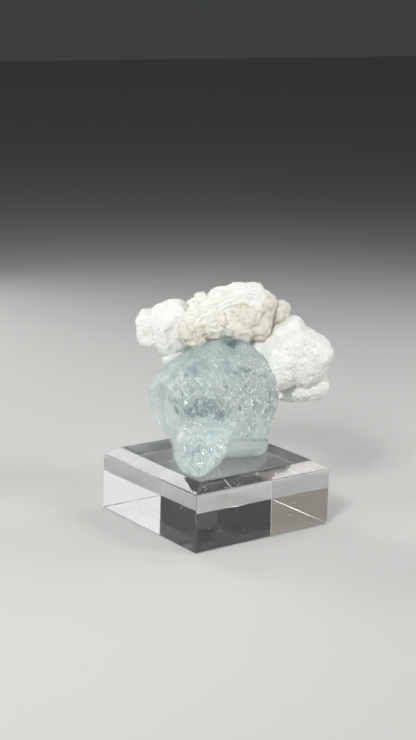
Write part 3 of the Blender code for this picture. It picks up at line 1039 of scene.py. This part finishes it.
def grains_mesh(name, middles, sizes):
    """Eight-sided grains: the six points middle +- size along the axes, each stretched a little."""
    axes = np.array([(1, 0, 0), (0, 1, 0), (-1, 0, 0), (0, -1, 0), (0, 0, 1), (0, 0, -1)], float)
    stretch = dust_chance.uniform(0.6, 1.3, (len(middles), 6, 1))
    vertices = middles[:, None] + sizes[:, None, None] * stretch * axes
    faces = np.array([(0, 1, 4), (1, 2, 4), (2, 3, 4), (3, 0, 4), (1, 0, 5), (2, 1, 5), (3, 2, 5), (0, 3, 5)])
    faces = (np.arange(len(middles))[:, None, None] * 6 + faces).reshape(-1, 3)
    mesh = bpy.data.meshes.new(name)
    mesh.from_pydata((vertices.reshape(-1, 3) * MM).tolist(), [], faces.tolist())
    return mesh


def make_dust():
    """Grains scattered on the two front faces and the top, the crumbs, and the threads, in one mesh."""
    spread = dust_chance.uniform(-GRAIN_REACH, GRAIN_REACH, (3, GRAIN_COUNT))
    height = dust_chance.uniform(0.4, GRAIN_TOP, (2, GRAIN_COUNT))
    wall = np.full(GRAIN_COUNT, WALL_PLACE)
    right_face = np.stack([spread[0], wall, height[0]], axis=-1)
    left_face = np.stack([wall, spread[1], height[1]], axis=-1)[:LEFT_GRAIN_COUNT]
    deep = dust_chance.uniform(-13.2, 13.2, GRAIN_COUNT)
    top = np.stack([spread[2] * 0.86, deep, np.full(GRAIN_COUNT, TOP_PLACE)], axis=-1)
    crumbs = np.array([(x, y, CRUMB_PLACE) for x, y in CRUMBS])
    middles = np.vstack([right_face, left_face, top, crumbs])
    sizes = np.concatenate(
        [
            0.02 + 0.06 * dust_chance.random(len(middles) - len(crumbs)) ** 4,
            dust_chance.uniform(0.1, 0.18, len(crumbs)),
        ]
    )
    meshes = [grains_mesh("grains", middles, sizes)]
    meshes += [closed_grid_mesh("thread", thread_points(*thread)) for thread in THREADS]
    return new_piece("block_dust", joined("block_dust", meshes))


dust = make_dust()
dust_and_glint_material = new_material("albite_dust_lint_and_glint_grains", {"Base Color": linear("#eceae2"), "Roughness": 0.85})[0]
dress(dust, dust_and_glint_material)
dust.data.shade_flat()

# %% Crumbs and glint grains on the crystal
CRUMB_CLUSTER = (2.6, -10.8, 27.0)
BLACK_SPECK = np.array([(1.17, -11.62, 22.94)])


def make_crumbs_and_glint_grains():
    """Albite crumbs and white grains painted in for glints, stuck in the etch pits, most often in the belt.
    """
    points, _ = read_points(aquamarine)
    x, y, z = points.T
    belt = from_to(np.abs(z - 27.0), 3.4, 0.6) * from_to(x, -11.5, -6.5) * (y < -4)
    right = from_to(x, 4.0, 7.0) * from_to(z, 20.5, 23.0) * (y < -2)
    clump = from_to(np.linalg.norm((points - CRUMB_CLUSTER) / (1.6, 1.5, 0.7), axis=1), 1.0, 0.4)
    patchy = from_to(rough_noise(points, 1.6, 3, seed=70), -0.1, 0.6)
    weight = (belt + 0.6 * right + 0.04 * (y < -3)) * patchy + 3 * clump
    picked = dust_chance.choice(len(points), CRUMB_COUNT, replace=False, p=weight / weight.sum())
    sizes = 0.04 + 0.13 * dust_chance.random(len(picked)) ** 3
    return new_piece("crystal_crumbs_and_glint_grains", grains_mesh("crystal_crumbs_and_glint_grains", to_world(points[picked]) / MM, sizes))


# These white grains are partly real crumbs, partly a painted highlight for the belt's glints.
crumbs = make_crumbs_and_glint_grains()
dress(crumbs, dust_and_glint_material)
crumbs.data.shade_flat()
speck = new_piece("black_speck", grains_mesh("black_speck", to_world(BLACK_SPECK) / MM, np.array([0.2])))
schorl_constants = {"Base Color": linear("#17191b"), "Roughness": 0.3}
dress(speck, new_material("black_schorl", schorl_constants)[0])

# %% [markdown]
# ## Floor and light
#
# A pale floor and soft light, as in a small studio. The key light and three fills come from the front and
# both sides, and a weak one from behind. The other panels are there for the block: each stands where a
# face or a bevel of the clear plastic sends the eye, and where none stands the dark room shows instead.

# %% Stage
FLOOR_HALF, FLOOR_DROP = 1.5, 0.0002


def make_floor():
    mesh = bpy.data.meshes.new("floor")
    corners = [(x * FLOOR_HALF, y * FLOOR_HALF, 0) for x, y in ((-1, -1), (1, -1), (1, 1), (-1, 1))]
    mesh.from_pydata(corners, [], [(0, 1, 2, 3)])
    floor = new_piece("floor", mesh)
    floor.location.z = -FLOOR_DROP
    card = {"Base Color": linear("#cfcfcc"), "Roughness": 0.9}
    mesh.materials.append(new_material("matt_pale_card", card)[0])
    return floor


def add_softbox(name, place_mm, target_mm, size_mm, brightness, colour="#ffffff", spread=180):
    """A glowing panel of this brightness: its power is pi times its area times the brightness."""
    data = bpy.data.lights.new(name, "AREA")
    data.shape = "RECTANGLE"
    data.size, data.size_y = (side * MM for side in size_mm)
    data.energy = math.pi * data.size * data.size_y * brightness
    data.color = linear(colour)[:3]
    data.spread = math.radians(spread)
    light = new_piece(name, data)
    place, target = Vector(to_world(place_mm)), Vector(to_world(target_mm))
    light.location = place
    light.visible_camera = False
    light.rotation_euler = (target - place).to_track_quat("-Z", "Y").to_euler()
    return light


def make_world():
    world = bpy.data.worlds.new("dark_room")
    world.use_nodes = True
    world.node_tree.nodes["Background"].inputs["Color"].default_value = linear("#3c3e40")
    bpy.context.scene.world = world


make_floor()
make_world()
SPECIMEN_MIDDLE = (2.0, 0.0, 27.0)
for softbox in [
    ("key_softbox", (-70, -215, 190), SPECIMEN_MIDDLE, (60, 60), 12.0, "#ffffff", 100),
    ("left_softbox", (-160, -80, 220), SPECIMEN_MIDDLE, (110, 110), 2.4),
    ("left_fill", (-230, -60, 140), SPECIMEN_MIDDLE, (70, 70), 5.5),
    ("right_fill", (200, -60, 190), SPECIMEN_MIDDLE, (80, 80), 9.2),
    ("front_left_panel", (-175, -235, 80), (0, 0, 12), (160, 110), 1.5),
    ("left_bevel_light", (-135, 155, 172), (-12, -8, 12), (80, 80), 8.5),
    ("right_bevel_light", (134, 107, 216), (12, -9, 12), (50, 50), 8.0),
    ("left_rim", (-150, 200, 62), (0, 0, 20), (120, 110), 1.6),
    ("right_rim", (200, 168, 62), (0, 0, 20), (130, 110), 1.8),
    ("right_panel", (250, -85, 80), (0, 0, 12), (280, 170), 0.8),
    ("left_panel", (-250, 78, 70), (0, 0, 12), (180, 150), 0.22, "#fff0dc"),
    ("back_panel", (90, 160, 240), SPECIMEN_MIDDLE, (110, 110), 1.6),
]:
    add_softbox(*softbox)
bpy.context.scene.view_settings.view_transform = "Standard"
